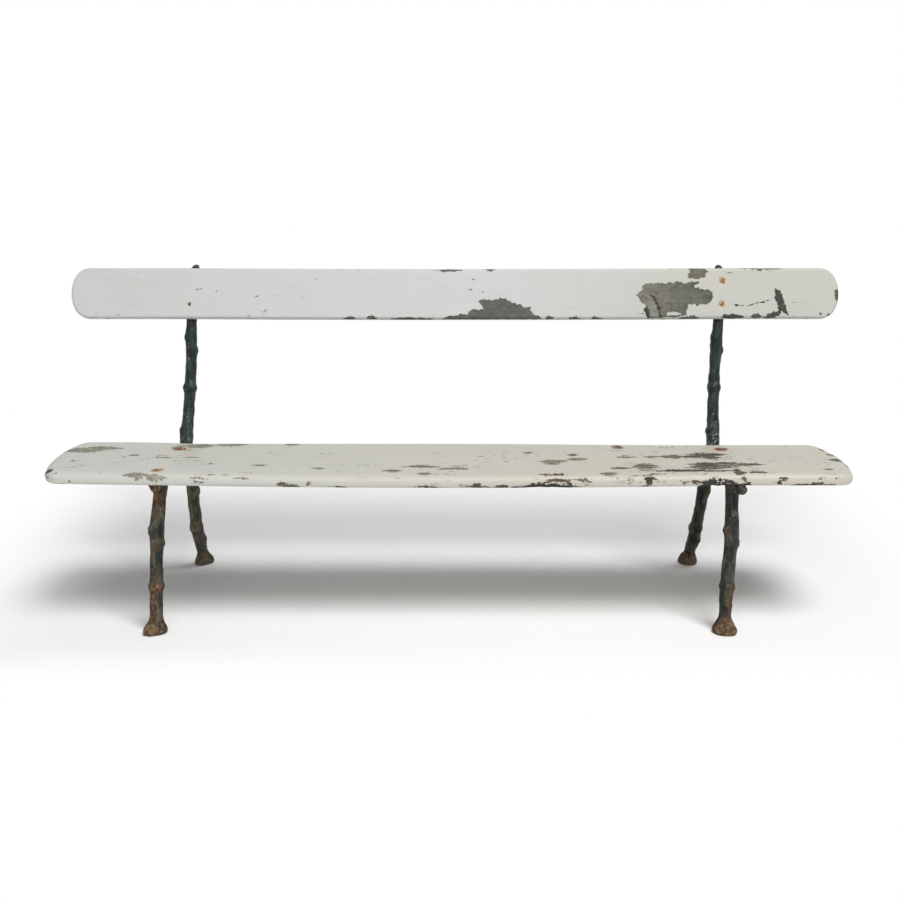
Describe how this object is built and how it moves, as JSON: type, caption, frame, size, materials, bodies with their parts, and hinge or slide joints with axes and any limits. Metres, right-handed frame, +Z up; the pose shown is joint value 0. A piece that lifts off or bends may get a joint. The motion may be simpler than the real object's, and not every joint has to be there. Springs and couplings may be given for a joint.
{
  "type": "garden bench",
  "caption": "Long garden bench with a painted seat board and a reclined back board, round at the ends, bolted to cast iron end frames shaped like knotted branches.",
  "frame": {"origin": "On the ground, below the middle of the bench: the middle of the whole bounding box, at the soles of the feet.", "axes": "+X runs along the bench to the right of a viewer who faces its front, +Y runs from front to back, +Z is up."},
  "size_m": [2.08, 0.5835, 0.8863],
  "materials": {
    "painted_wood": "old off-white paint, peeling to grey wood",
    "cast_iron": "old dark green paint, worn to rust",
    "rusted_steel": "rusted"
  },
  "bodies": {
    "root": {"seat_board": "painted_wood", "back_board": "painted_wood", "left_end_frame": "cast_iron", "right_end_frame": "cast_iron", "left_front_seat_bolt": "rusted_steel", "left_front_seat_washer": "rusted_steel", "left_front_seat_nut": "rusted_steel", "left_rear_seat_bolt": "rusted_steel", "left_rear_seat_washer": "rusted_steel", "left_rear_seat_nut": "rusted_steel", "left_lower_back_bolt": "rusted_steel", "left_lower_back_washer": "rusted_steel", "left_lower_back_nut": "rusted_steel", "left_upper_back_bolt": "rusted_steel", "left_upper_back_washer": "rusted_steel", "left_upper_back_nut": "rusted_steel", "right_front_seat_bolt": "rusted_steel", "right_front_seat_washer": "rusted_steel", "right_front_seat_nut": "rusted_steel", "right_rear_seat_bolt": "rusted_steel", "right_rear_seat_washer": "rusted_steel", "right_rear_seat_nut": "rusted_steel", "right_lower_back_bolt": "rusted_steel", "right_lower_back_washer": "rusted_steel", "right_lower_back_nut": "rusted_steel", "right_upper_back_bolt": "rusted_steel", "right_upper_back_washer": "rusted_steel", "right_upper_back_nut": "rusted_steel"}
  },
  "joints": []
}
